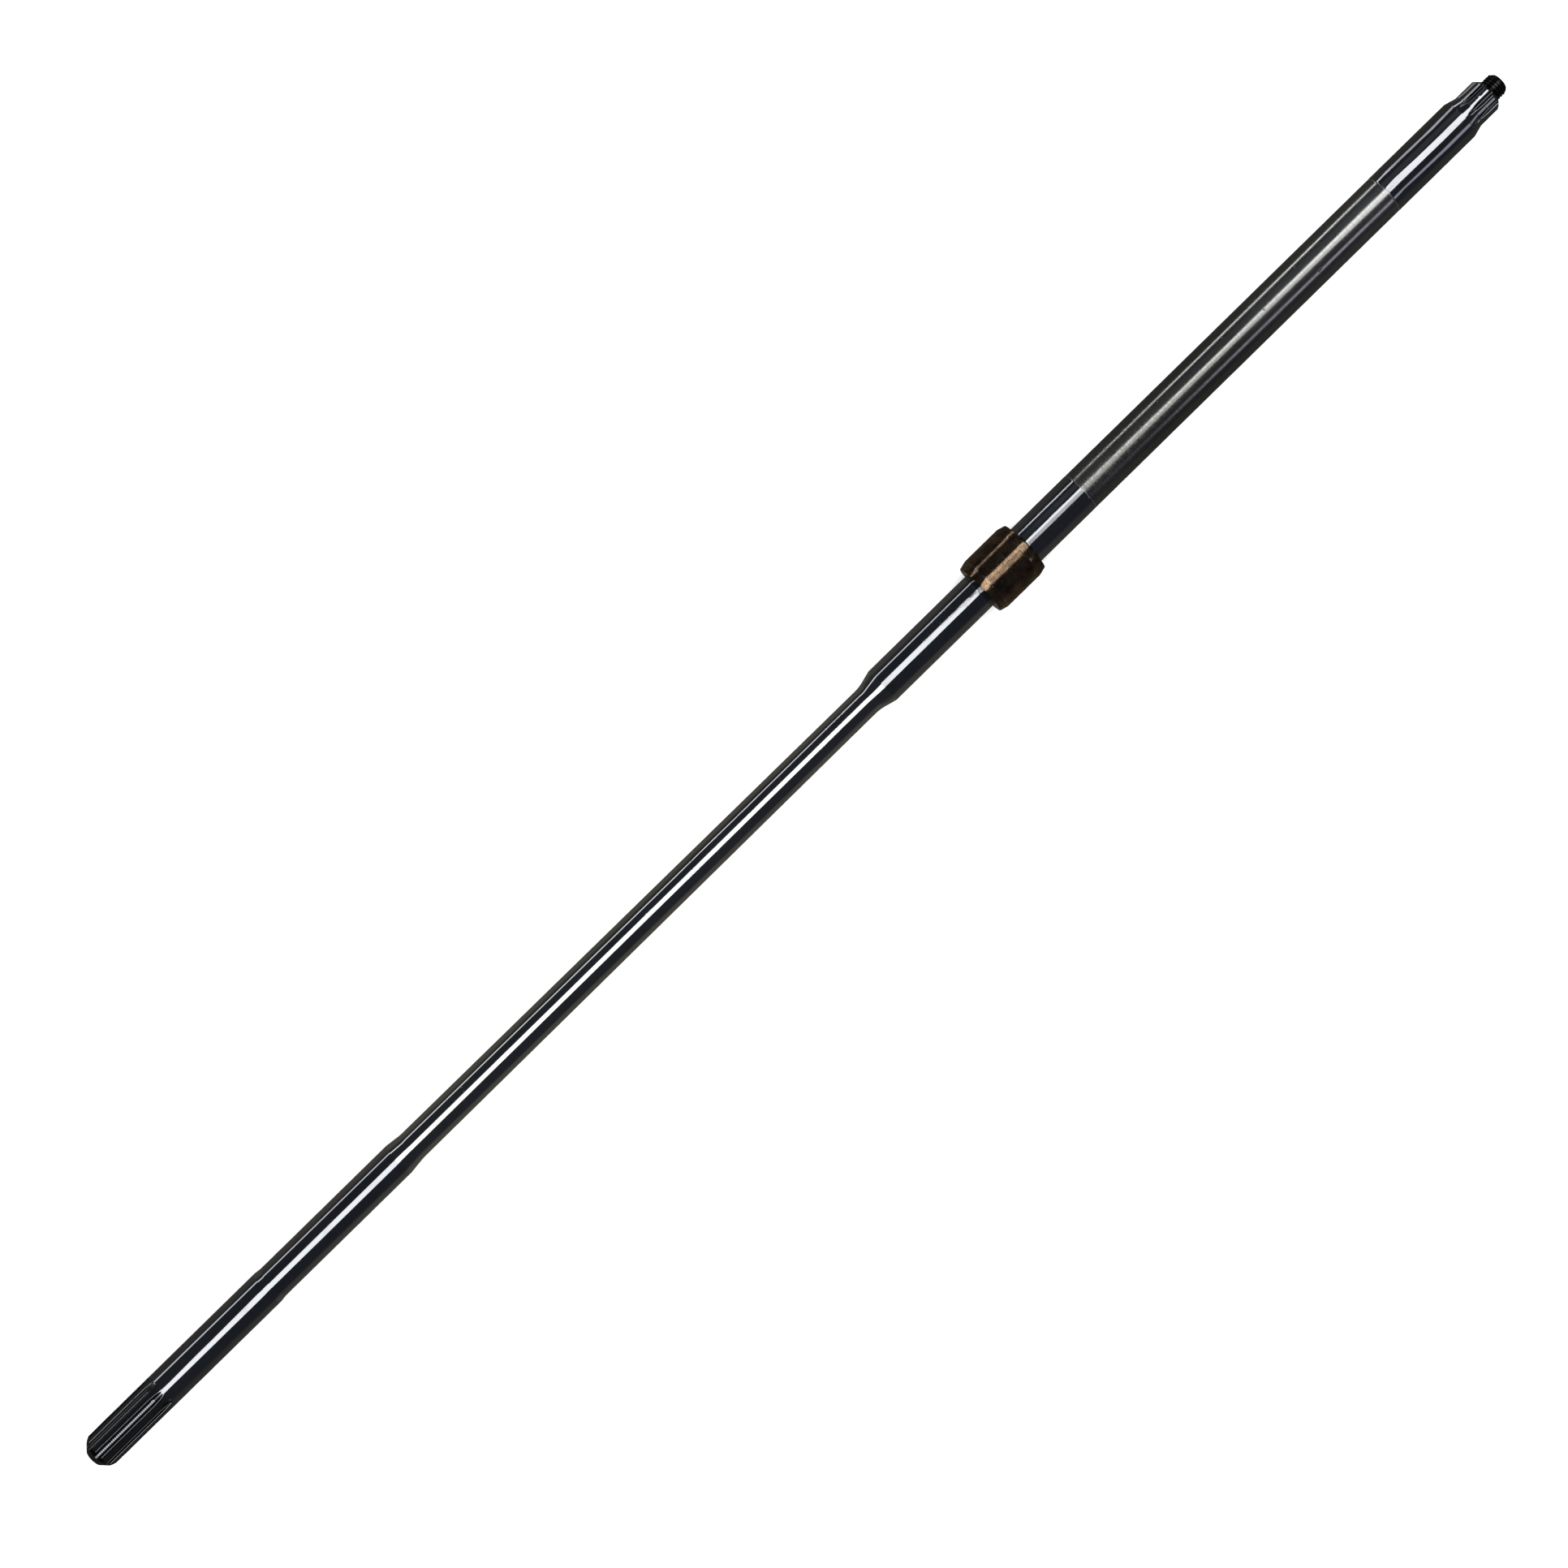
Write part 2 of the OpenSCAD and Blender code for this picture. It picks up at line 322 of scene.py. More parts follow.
def stations():
    """Places of the rows along the shaft: close together at corners, grooves and thread."""
    corners = OUTLINE[:, 0]
    slopes = np.arctan2(np.diff(OUTLINE[:, 1]), np.diff(OUTLINE[:, 0]))
    sharp = corners[1:-1][np.abs(np.diff(slopes)) > SHARP_TURN]
    near = np.array([-2.2, -1.0, -0.35, 0.35, 1.0, 2.2]) * EDGE
    marks = np.arange(X_HEAD + HEAD_LEAD / 3, HEAD_SPLINE["full"] + FEED, FEED / 5)
    run_out = np.arange(HEAD_SPLINE["full"] + FEED, HEAD_SPLINE["full"] + RUN_OUT, RUN_OUT_STEP)
    plain = np.arange(X_HEAD + PLAIN_START, X_CONE - 3, PLAIN_STEP)
    pinion = np.arange(X_CONE + 0.4, X_PINION_END + 2.4, FEED / 4)
    thread = np.arange(THREAD_START + 0.4, X_TIP - 0.1, THREAD_PITCH / 15)
    rows = np.concatenate([corners, (sharp[:, None] + near).ravel(), marks, run_out, plain, pinion, thread])
    rows = np.unique(np.clip(rows, X_HEAD, X_TIP).round(4))
    keep = np.concatenate([[True], np.diff(rows) > 0.03])
    return rows[keep]


def shaft_rows():
    """Arrays x, r, angle of the shaft's outer surface, one row a station and one column an angle."""
    x = stations()
    angle = column_angles(x)
    r = np.repeat(turned_radius(x)[:, None], COLUMNS, axis=1)
    for spline in (HEAD_SPLINE, PINION_SPLINE):
        pitch = FULL_TURN / spline["teeth"]
        from_groove = np.mod(angle - spline["turn"] + pitch / 2, pitch) - pitch / 2
        reach = spline["way"] * (x - spline["full"]) < GROOVE_REACH
        cut = groove_radius(spline, x[reach, None], from_groove[reach])
        r[reach] = soft_min(r[reach], cut, EDGE)
    threaded = x > THREAD_START
    r[threaded] = soft_min(r[threaded], thread_radius(x[threaded, None], angle[threaded]), EDGE / 2)
    return np.repeat(x[:, None], COLUMNS, axis=1), r, angle


def dent(x, r, angle, at, turn, length, width, depth):
    """Presses one small oval dent into the surface, and pushes no point outwards."""
    round_by = np.mod(angle - turn + math.pi, FULL_TURN) - math.pi
    away = ((x - at) / length) ** 2 + (round_by * r / width) ** 2
    return r - depth * np.exp(-away)


def wear_teeth(x, r, angle):
    """Small dents along the tooth crests of both splines, as handling leaves them."""
    for _ in range(HEAD_DENTS):
        at = rng.uniform(X_HEAD + 2, HEAD_SPLINE["full"] + 6)
        turn = rng.uniform(0, FULL_TURN)
        r = dent(x, r, angle, at, turn,
                 rng.uniform(0.25, 0.9), rng.uniform(0.2, 0.5), rng.uniform(0.02, 0.07))
    for _ in range(PINION_DENTS):
        at = rng.uniform(X_PINION - 1, X_PINION_END)
        turn = rng.uniform(0, FULL_TURN)
        r = dent(x, r, angle, at, turn,
                 rng.uniform(0.2, 0.5), rng.uniform(0.2, 0.4), rng.uniform(0.02, 0.06))
    return r


def centre_rows(x_face, inwards, rim_r):
    """Rows (x, r) from a lathe centre's drilled end out to the rim of the end face."""
    mouth_depth = (CENTRE_MOUTH_R - CENTRE_DRILL_R) / math.tan(math.radians(30))
    return [
        (x_face + inwards * CENTRE_DEPTH, CENTRE_DRILL_R * 0.9),
        (x_face + inwards * (CENTRE_DEPTH - 0.1), CENTRE_DRILL_R),
        (x_face + inwards * (mouth_depth + 0.1), CENTRE_DRILL_R),
        (x_face + inwards * (mouth_depth - 0.1), CENTRE_DRILL_R + 0.06),
        (x_face + inwards * 0.2, CENTRE_MOUTH_R - 0.13),
        (x_face + inwards * 0.05, CENTRE_MOUTH_R - 0.01),
        (x_face, CENTRE_MOUTH_R + 0.08),
        (x_face, CENTRE_MOUTH_R + 0.3),
        (x_face, rim_r - 0.3),
        (x_face, rim_r - 0.08),
    ]


def grid_faces(rows, columns):
    """Quads of a closed grid of points, wound so that they face outwards."""
    i, j = np.meshgrid(np.arange(rows - 1), np.arange(columns), indexing="ij")
    after = (j + 1) % columns
    corners = [i * columns + j, i * columns + after, (i + 1) * columns + after, (i + 1) * columns + j]
    return np.stack(corners, axis=-1).reshape(-1, 4).tolist()


def smooth_piece(name, points, faces, body, node, material):
    """A mesh piece from points in millimetres, smooth but for its flats, riding as the CAD node does."""
    mesh = bpy.data.meshes.new(name)
    mesh.from_pydata((np.asarray(points) * MM).tolist(), [], faces)
    mesh.polygons.foreach_set("use_smooth", np.ones(len(mesh.polygons), bool))
    mesh.materials.append(material)
    mesh.validate()
    piece = bpy.data.objects.new(name, mesh)
    bpy.context.scene.collection.objects.link(piece)
    normals = piece.modifiers.new("flat_faces_lead", "WEIGHTED_NORMAL")
    normals.weight = 60
    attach(piece, body)
    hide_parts(node)
    return piece


def around(x, r, angle):
    """Points at distance x along the shaft, radius r and angle round it."""
    return np.stack([x, -r * np.sin(angle), r * np.cos(angle)], axis=-1).reshape(-1, 3)


def make_shaft(material):
    """The whole steel bar, as one closed mesh from the head's lathe centre to the tip's."""
    x, r, angle = shaft_rows()
    r = wear_teeth(x, r, angle)
    head_in = np.array(centre_rows(X_HEAD, 1, r[0].min()))
    tip_in = np.array(centre_rows(X_TIP, -1, r[-1].min()))[::-1]
    spread = np.ones(COLUMNS)
    x = np.concatenate([head_in[:, :1] * spread, x, tip_in[:, :1] * spread])
    r = np.concatenate([head_in[:, 1:] * spread, r, tip_in[:, 1:] * spread])
    head_angles = np.repeat(angle[:1], len(head_in), 0)
    tip_angles = np.repeat(angle[-1:], len(tip_in), 0)
    angle = np.concatenate([head_angles, angle, tip_angles])
    points = around(x, r, angle)
    faces = grid_faces(len(x), COLUMNS)
    drill_point = CENTRE_DRILL_R * math.tan(math.radians(30))
    ends = [(X_HEAD + CENTRE_DEPTH + drill_point, 0, 0), (X_TIP - CENTRE_DEPTH - drill_point, 0, 0)]
    first, last, tip_row = len(points), len(points) + 1, (len(x) - 1) * COLUMNS
    for j in range(COLUMNS):
        after = (j + 1) % COLUMNS
        faces.append((first, after, j))
        faces.append((last, tip_row + j, tip_row + after))
    points = np.concatenate([points, ends])
    return smooth_piece("shaft_bar", points, faces, "shaft", "drive_shaft", material)


# ---------------------------------------------------------------- the bush's mesh

def bush_section():
    """The bush's section as points (x, r), once round from its bore, with its corners worn round."""
    corners = [
        (-BUSH_HALF + BUSH_EDGE, BUSH_BORE_R),
        (-BUSH_HALF, BUSH_BORE_R + BUSH_EDGE),
        (-BUSH_HALF, R_BUSH - BUSH_LEAD_IN),
        (-BUSH_HALF + BUSH_LEAD, R_BUSH),
        (BUSH_HALF - BUSH_LEAD, R_BUSH),
        (BUSH_HALF, R_BUSH - BUSH_LEAD_IN),
        (BUSH_HALF, BUSH_BORE_R + BUSH_EDGE),
        (BUSH_HALF - BUSH_EDGE, BUSH_BORE_R),
    ]
    cut = 0.16
    points = []
    for k, corner in enumerate(corners):
        here = Vector(corner)
        before = (Vector(corners[k - 1]) - here).normalized()
        after = (Vector(corners[(k + 1) % len(corners)]) - here).normalized()
        for t in (1.0, 0.45, 0.0, 0.45, 1.0):
            way = before if len(points) % 5 < 2 else after
            pull = (before + after) * (0.25 * cut * (1 - t))
            points.append(here + way * (cut * t) + pull)
    return fill_long(points, 1.2)


def fill_long(points, step):
    """The same closed line with points added wherever two are further apart than step."""
    out = []
    for k, here in enumerate(points):
        to = points[(k + 1) % len(points)]
        pieces = max(1, math.ceil((to - here).length / step))
        out += [here.lerp(to, i / pieces) for i in range(pieces)]
    return out


def make_bush(material):
    """The bronze ring, with a few small dents pressed into its rims."""
    section = np.array(bush_section())
    columns = 240
    angle = np.repeat((np.arange(columns) * FULL_TURN / columns)[None], len(section), 0)
    x = section[:, :1] * np.ones(columns)
    r = section[:, 1:] * np.ones(columns)
    outside = r > R_BUSH - BUSH_LEAD_IN - 0.5
    for _ in range(BUSH_DENTS):
        at = rng.choice([-1, 1]) * rng.uniform(BUSH_HALF - BUSH_LEAD - 0.4, BUSH_HALF)
        pressed = dent(x, r, angle, at, rng.uniform(0, FULL_TURN),
                       rng.uniform(0.4, 1.2), rng.uniform(0.4, 1.1), rng.uniform(0.02, 0.08))
        r = np.where(outside, pressed, r)
    points = around(x, r, angle)
    faces = grid_faces(len(section), columns)
    rows = len(section) - 1
    for j in range(columns):
        after = (j + 1) % columns
        faces.append((rows * columns + j, rows * columns + after, after, j))
    return smooth_piece("bush_ring", points, faces, "bush", "support_bush", material)


# ---------------------------------------------------------------- material helpers

def feed(tree, socket, value):
    """Links a socket to another node's output, or sets it to a plain value."""
    if isinstance(value, bpy.types.NodeSocket):
        tree.links.new(value, socket)
    else:
        socket.default_value = value


def calc(tree, operation, a, b=0.0, c=0.0):
    """One Math node."""
    node = tree.nodes.new("ShaderNodeMath")
    node.operation = operation
    for socket, value in zip(node.inputs, (a, b, c)):
        feed(tree, socket, value)
    return node.outputs[0]


def spread_by(tree, vector, scale):
    """A vector with each of its axes scaled on its own."""
    node = tree.nodes.new("ShaderNodeVectorMath")
    node.operation = "MULTIPLY"
    feed(tree, node.inputs[0], vector)
    node.inputs[1].default_value = scale
    return node.outputs[0]


def noise(tree, vector, scale, detail=2.0, roughness=0.5):
    """One Noise texture, 0 to 1."""
    node = tree.nodes.new("ShaderNodeTexNoise")
    feed(tree, node.inputs["Vector"], vector)
    node.inputs["Scale"].default_value = scale
    node.inputs["Detail"].default_value = detail
    node.inputs["Roughness"].default_value = roughness
    return node.outputs["Fac"]


def cells(tree, vector, scale):
    """Distance to the nearest point of a Voronoi texture, in cells."""
    node = tree.nodes.new("ShaderNodeTexVoronoi")
    feed(tree, node.inputs["Vector"], vector)
    node.inputs["Scale"].default_value = scale
    return node.outputs["Distance"]


def ramp(tree, value, low, high, to_low=0.0, to_high=1.0):
    """Eases from to_low to to_high as value goes from low to high."""
    node = tree.nodes.new("ShaderNodeMapRange")
    node.interpolation_type = "SMOOTHSTEP"
    for socket, v in zip(node.inputs, (value, low, high, to_low, to_high)):
        feed(tree, socket, v)
    return node.outputs["Result"]


def band(tree, x, start, end, soft):
    """1 between start and end along x, in metres, and 0 outside, with soft edges."""
    rise = ramp(tree, x, start - soft, start + soft)
    fall = ramp(tree, x, end - soft, end + soft, 1.0, 0.0)
    return calc(tree, "MULTIPLY", rise, fall)


def tint(tree, factor, a, b):
    """A colour between a and b."""
    node = tree.nodes.new("ShaderNodeMix")
    node.data_type = "RGBA"
    feed(tree, node.inputs["Factor"], factor)
    feed(tree, node.inputs["A"], a)
    feed(tree, node.inputs["B"], b)
    return node.outputs["Result"]


def bump(tree, height, distance, strength, under=None):
    """A Bump node, on top of another one if under is given."""
    node = tree.nodes.new("ShaderNodeBump")
    feed(tree, node.inputs["Height"], height)
    node.inputs["Distance"].default_value = distance
    feed(tree, node.inputs["Strength"], strength)
    if under is not None:
        feed(tree, node.inputs["Normal"], under)
    return node.outputs["Normal"]


def object_axes(tree):
    """The object's own coordinates, and x and the distance from its axis, all in metres."""
    place = tree.nodes.new("ShaderNodeTexCoord").outputs["Object"]
    split = tree.nodes.new("ShaderNodeSeparateXYZ")
    feed(tree, split.inputs[0], place)
    x, y, z = split.outputs
    radius = calc(tree, "SQRT", calc(tree, "ADD", calc(tree, "MULTIPLY", y, y), calc(tree, "MULTIPLY", z, z)))
    return place, x, radius


def new_material(name):
    """An empty node material and its shader."""
    material = bpy.data.materials.new(name)
    material.use_nodes = True
    return material, material.node_tree, material.node_tree.nodes["Principled BSDF"]


# ---------------------------------------------------------------- steel

STEEL = (0.43, 0.445, 0.47, 1)
STEEL_SHANK = (0.56, 0.565, 0.56, 1)
STEEL_SATIN = (0.37, 0.365, 0.345, 1)
STEEL_SATIN_PALE = (0.50, 0.50, 0.49, 1)
# Oil's dark tone on the steel, also used as painted shade on the seat beside the bush
STEEL_OIL_AND_SHADE = (0.10, 0.097, 0.093, 1)
# A near-black that paints shade into the grooves' sides, onto the feed marks' ridges and into the thread's
# roots
STEEL_PAINTED_SHADE = (0.025, 0.025, 0.025, 1)
STEEL_STAIN = (0.30, 0.285, 0.26, 1)

# Radii between which two masks thin out: of the thread's roots, and of the floors of the head's grooves
THREAD_ROOTS_UP_TO = (4.50, 4.82)
HEAD_FLOORS_UP_TO = (6.5, 6.7)

# Small dark marks: place along the shaft in mm, angle round it in degrees, radius in mm.
# The last three run together into one slanting nick.
DARK_MARKS = ((123.8, -31, 0.45), (88.2, -31, 0.45), (143.0, -5, 0.4), (163.3, -31, 0.45),
              (169.2, 25.5, 0.4), (169.8, 24, 0.45), (170.4, 22.5, 0.4))


def steel():
    """Ground and turned steel: bright lands and journals, a satin middle, oily grooves and thread, with shade
    painted into the grooves' sides, onto the feed marks' ridges, into the thread's roots and beside the bush.
    """
    material, tree, shader = new_material("ground_steel")
    place, x, radius = object_axes(tree)
    where = steel_regions(tree, x, radius)
    marks = steel_marks(tree, place, where)
    feed(tree, shader.inputs["Base Color"], steel_colour(tree, x, where, marks))
    feed(tree, shader.inputs["Roughness"], steel_roughness(tree, where, marks))
    feed(tree, shader.inputs["Normal"], steel_bumps(tree, place, x, where, marks))
    shader.inputs["Metallic"].default_value = 1.0
    return material


def steel_regions(tree, x, radius):
    """Masks, 1 inside and 0 outside, of the stretches and surfaces of the bar that differ in finish."""
    satin = band(tree, x, X_RING_1 * MM, X_RING_2 * MM, 0.0002)
    head = ramp(tree, x, (HEAD_SPLINE["full"] + 4) * MM, (HEAD_SPLINE["full"] + 8) * MM, 1.0, 0.0)
    nose = ramp(tree, x, (X_HEAD + 3.2) * MM, (X_HEAD + 4.8) * MM, 1.0, 0.0)
    tail = ramp(tree, x, (X_PINION_END + 1) * MM, (X_PINION_END + 3) * MM)
    pinion = ramp(tree, x, (X_PINION - 2) * MM, (X_PINION + 0.5) * MM)
    head_sides = calc(tree, "MULTIPLY", head, groove_sides(tree, radius, HEAD_SPLINE))
    under_crests = ramp(tree, radius, (R_PINION - 0.30) * MM, (R_PINION - 0.12) * MM, 1.0, 0.0)
    pinion_sides = calc(tree, "MULTIPLY", pinion, under_crests)
    behind_nose = calc(tree, "SUBTRACT", head, nose)
    thread_roots = ramp(tree, radius, THREAD_ROOTS_UP_TO[0] * MM, THREAD_ROOTS_UP_TO[1] * MM, 1.0, 0.0)
    return dict(
        satin=satin,
        coarse=calc(tree, "MULTIPLY", satin, ramp(tree, x, 0.060, 0.140, 1.0, 0.35)),
        entry=satin_marks(tree, x, satin),
        shank=band(tree, x, X_LAND_2 * MM, X_BUSH_LAND * MM, 0.0008),
        seat=band(tree, x, X_SEAT * MM, -BUSH_HALF * MM, 0.0001),
        head=head,
        nose=nose,
        tail=tail,
        sides=calc(tree, "MAXIMUM", head_sides, pinion_sides),
        ridges=calc(tree, "MULTIPLY", behind_nose, mark_ridges(tree, x, radius)),
        roots=calc(tree, "MULTIPLY", tail, thread_roots),
        rings=calc(tree, "MAXIMUM", ring_at(tree, x, X_RING_1), ring_at(tree, x, X_RING_2)),
    )


def steel_marks(tree, place, where):
    """The steel's fine patterns: noise that covers the bar, and marks that only some regions have."""
    around_only = spread_by(tree, place, (1.0, 0.02, 0.02))
    pits = ramp(tree, cells(tree, place, 420.0), 0.05, 0.10, 1.0, 0.0)
    pits_here = ramp(tree, noise(tree, place, 75.0, 2.0), 0.60, 0.68)
    turning = noise(tree, around_only, 1700.0, 1.0, 0.5)
    grain = noise(tree, place, 1500.0, 3.0, 0.6)
    stains = noise(tree, spread_by(tree, place, (0.5, 1, 1)), 170.0, 5.0, 0.6)
    return dict(
        blotches=noise(tree, place, 60.0, 4.0),
        ripple=noise(tree, place, 260.0, 2.0),
        grind=noise(tree, around_only, 2600.0, 3.0, 0.6),
        turning=turning,
        grain=grain,
        stains=ramp(tree, stains, 0.52, 0.74),
        specks=calc(tree, "MAXIMUM", calc(tree, "MULTIPLY", pits, pits_here), dark_marks(tree, place)),
        turned=calc(tree, "MULTIPLY", ramp(tree, turning, 0.44, 0.58), where["entry"]),
        speckle=calc(tree, "MULTIPLY", ramp(tree, grain, 0.44, 0.60), where["coarse"]),
    )


def steel_colour(tree, x, where, marks):
    """The steel's colour: its own in each stretch, with oil, stains, dirt and painted shade laid over it in
    turn.
    """
    satin_colour = tint(tree, ramp(tree, x, 0.10, 0.20), STEEL_SATIN, STEEL_SATIN_PALE)
    colour = tint(tree, where["shank"], STEEL, STEEL_SHANK)
    colour = tint(tree, where["satin"], colour, satin_colour)
    layers = (
        (marks["turned"], 0.35, STEEL_OIL_AND_SHADE),
        (marks["speckle"], 0.30, STEEL_OIL_AND_SHADE),
        (marks["stains"], 0.35, STEEL_STAIN),
        (where["head"], 0.45, STEEL_OIL_AND_SHADE),
        (where["nose"], 0.8, STEEL_OIL_AND_SHADE),
        # partly oil, partly painted shade: the grooves' sides are darkened nearly to black
        (where["sides"], 0.85, STEEL_PAINTED_SHADE),
        # painted shade: the ridges between the feed marks are darkened, so the marks read as separate glints
        (where["ridges"], 0.8, STEEL_PAINTED_SHADE),
        # painted shade: the thread's roots are darkened
        (where["roots"], 0.6, STEEL_PAINTED_SHADE),
        # painted shade: the seat next to the bush's face is darkened
        (where["seat"], 0.5, STEEL_OIL_AND_SHADE),
        (marks["specks"], 0.8, STEEL_OIL_AND_SHADE),
    )
    for mask, strength, over in layers:
        colour = tint(tree, calc(tree, "MULTIPLY", mask, strength), colour, over)
    return colour


def steel_roughness(tree, where, marks):
    """The steel's roughness: near a mirror's where it is ground, with more added in each duller place."""
    rough = ramp(tree, marks["blotches"], 0.35, 0.7, 0.045, 0.075)
    duller = (
        (where["satin"], 0.09),
        (marks["turned"], 0.07),
        (marks["speckle"], 0.08),
        (where["head"], 0.02),
        (where["tail"], 0.14),
        (where["rings"], 0.30),
        (marks["specks"], 0.3),
    )
    for mask, added in duller:
        rough = calc(tree, "ADD", rough, calc(tree, "MULTIPLY", mask, added))
    return rough


def steel_bumps(tree, place, x, where, marks):
    """The steel's surface: slight ripple, grinding and turning lines, frosted grain and pits."""
    patches = calc(tree, "MULTIPLY", frosty_patches(tree, place, x), 0.35)
    grainy = calc(tree, "ADD", patches, calc(tree, "MULTIPLY", where["coarse"], 0.035))
    normal = bump(tree, marks["ripple"], 0.00002, 0.22)
    normal = bump(tree, marks["grind"], 0.000006, 0.35, normal)
    normal = bump(tree, marks["turning"], 0.00002, calc(tree, "MULTIPLY", where["entry"], 0.8), normal)
    normal = bump(tree, marks["grain"], 0.00006, calc(tree, "ADD", 0.012, grainy), normal)
    return bump(tree, marks["specks"], -0.00004, 0.5, normal)


def groove_sides(tree, radius, spline):
    """1 on the sides of a spline's grooves, where oil stays and shade is painted in, and 0 on their floors
    and the crests.
    """
    floor_r = spline["crest"] - spline["depth"]
    return band(tree, radius, (floor_r + 0.16) * MM, (spline["crest"] - 0.16) * MM, 0.00005)


def mark_ridges(tree, x, radius):
    """1 on the ridges between the hob's feed marks, on the floors of the head's grooves, where shade is
    painted.
    """
    turns = calc(tree, "DIVIDE", calc(tree, "SUBTRACT", x, X_HEAD * MM), FEED * MM)
    from_middle = calc(tree, "ABSOLUTE", calc(tree, "SUBTRACT", calc(tree, "FRACT", turns), 0.5))
    on_floor = ramp(tree, radius, HEAD_FLOORS_UP_TO[0] * MM, HEAD_FLOORS_UP_TO[1] * MM, 1.0, 0.0)
    return calc(tree, "MULTIPLY", ramp(tree, from_middle, 0.22, 0.40), on_floor)


def ring_at(tree, x, place_mm):
    """1 in the fine ring groove at a place along the shaft, where the steel is as the tool left it."""
    half = RING_HALF * 0.45
    return band(tree, x, (place_mm - half) * MM, (place_mm + half) * MM, 0.00004)


def dark_marks(tree, place):
    """1 in each of the small dark marks on the steel."""
    marks = 0.0
    for along, turn, radius in DARK_MARKS:
        a = math.radians(turn)
        at = Vector((along, -R_JOURNAL * math.sin(a), R_JOURNAL * math.cos(a))) * MM
        node = tree.nodes.new("ShaderNodeVectorMath")
        node.operation = "DISTANCE"
        feed(tree, node.inputs[0], place)
        node.inputs[1].default_value = at
        inside = ramp(tree, node.outputs["Value"], radius * 0.7 * MM, radius * 1.3 * MM, 1.0, 0.0)
        marks = calc(tree, "MAXIMUM", marks, inside)
    return marks


def satin_marks(tree, x, satin):
    """Strength of the turning marks, which are coarsest where the tool entered the satin middle."""
    entry = ramp(tree, x, X_RING_1 * MM, (X_RING_1 + 60) * MM, 1.0, 0.3)
    return calc(tree, "MULTIPLY", satin, entry)


def frosty_patches(tree, place, x):
    """Where handling has left the polish frosted: some places along the shaft, broken up by noise."""
    broken = ramp(tree, noise(tree, place, 130.0, 3.0, 0.6), 0.45, 0.62)
    places = band(tree, x, -0.108, -0.080, 0.006)
    for start, end in ((-0.200, -0.186), (-0.172, -0.135), (-0.045, 0.042)):
        places = calc(tree, "MAXIMUM", places, band(tree, x, start, end, 0.005))
    return calc(tree, "MULTIPLY", broken, places)


# ---------------------------------------------------------------- bronze

BRONZE = (0.45, 0.295, 0.175, 1)
BRONZE_DARK = (0.19, 0.128, 0.088, 1)
BRONZE_PIT = (0.04, 0.031, 0.025, 1)
BRONZE_WORN_AND_HIGHLIT = (0.46, 0.39, 0.31, 1)


def bronze():
    """Oil-soaked porous bronze: a dark, grainy, finely pitted skin, with a paler line at each lead's edge
    that is partly wear and partly a painted highlight.
    """
    material, tree, shader = new_material("bush_bronze")
    place, x = object_axes(tree)[:2]
    blotches = noise(tree, place, 240.0, 4.0, 0.6)
    grain = noise(tree, place, 2600.0, 3.0, 0.65)
    pits = ramp(tree, cells(tree, place, 1500.0), 0.18, 0.34, 1.0, 0.0)
    pits_here = ramp(tree, noise(tree, place, 900.0, 2.0), 0.48, 0.60)
    pores = calc(tree, "MULTIPLY", pits, pits_here)
    from_edge = calc(tree, "SUBTRACT", calc(tree, "ABSOLUTE", x), (BUSH_HALF - BUSH_LEAD) * MM)
    worn_and_highlit_line = ramp(tree, calc(tree, "ABSOLUTE", from_edge), 0.00006, 0.00022, 1.0, 0.0)

    colour = tint(tree, ramp(tree, blotches, 0.35, 0.65), BRONZE, BRONZE_DARK)
    colour = tint(tree, ramp(tree, grain, 0.46, 0.60, 0.0, 0.7), colour, BRONZE_PIT)
    colour = tint(tree, calc(tree, "MULTIPLY", pores, 0.85), colour, BRONZE_PIT)
    # partly wear, partly painted highlight: a paler line where each lead meets the outside
    colour = tint(tree, calc(tree, "MULTIPLY", worn_and_highlit_line, 0.5), colour, BRONZE_WORN_AND_HIGHLIT)
    feed(tree, shader.inputs["Base Color"], colour)

    rough = ramp(tree, grain, 0.3, 0.7, 0.10, 0.15)
    rough = calc(tree, "ADD", rough, calc(tree, "MULTIPLY", pores, 0.25))
    feed(tree, shader.inputs["Roughness"], rough)

    normal = bump(tree, grain, 0.00002, 0.18)
    normal = bump(tree, pores, -0.00004, 0.2, normal)
    feed(tree, shader.inputs["Normal"], normal)
    shader.inputs["Metallic"].default_value = 1.0
    return material


# ---------------------------------------------------------------- floor, light and camera

# In metres: how far the side lights are from the shaft's axis, and half the floor's side
SIDE_DISTANCE = 1.1
FLOOR_HALF = 6.0
# What each kind of ray meets outside the scene. Polished steel sees a dim room over a bench, which is
# lit in one direction.
WORLD_SOFT = (1.15, 1.15, 1.15, 1)
WORLD_SEEN = (0.98, 0.98, 0.98, 1)
ROOM_DIM = (0.021, 0.024, 0.030, 1)
BENCH_DIM = (0.050, 0.048, 0.044, 1)
BENCH_LIT = (0.098, 0.092, 0.078, 1)


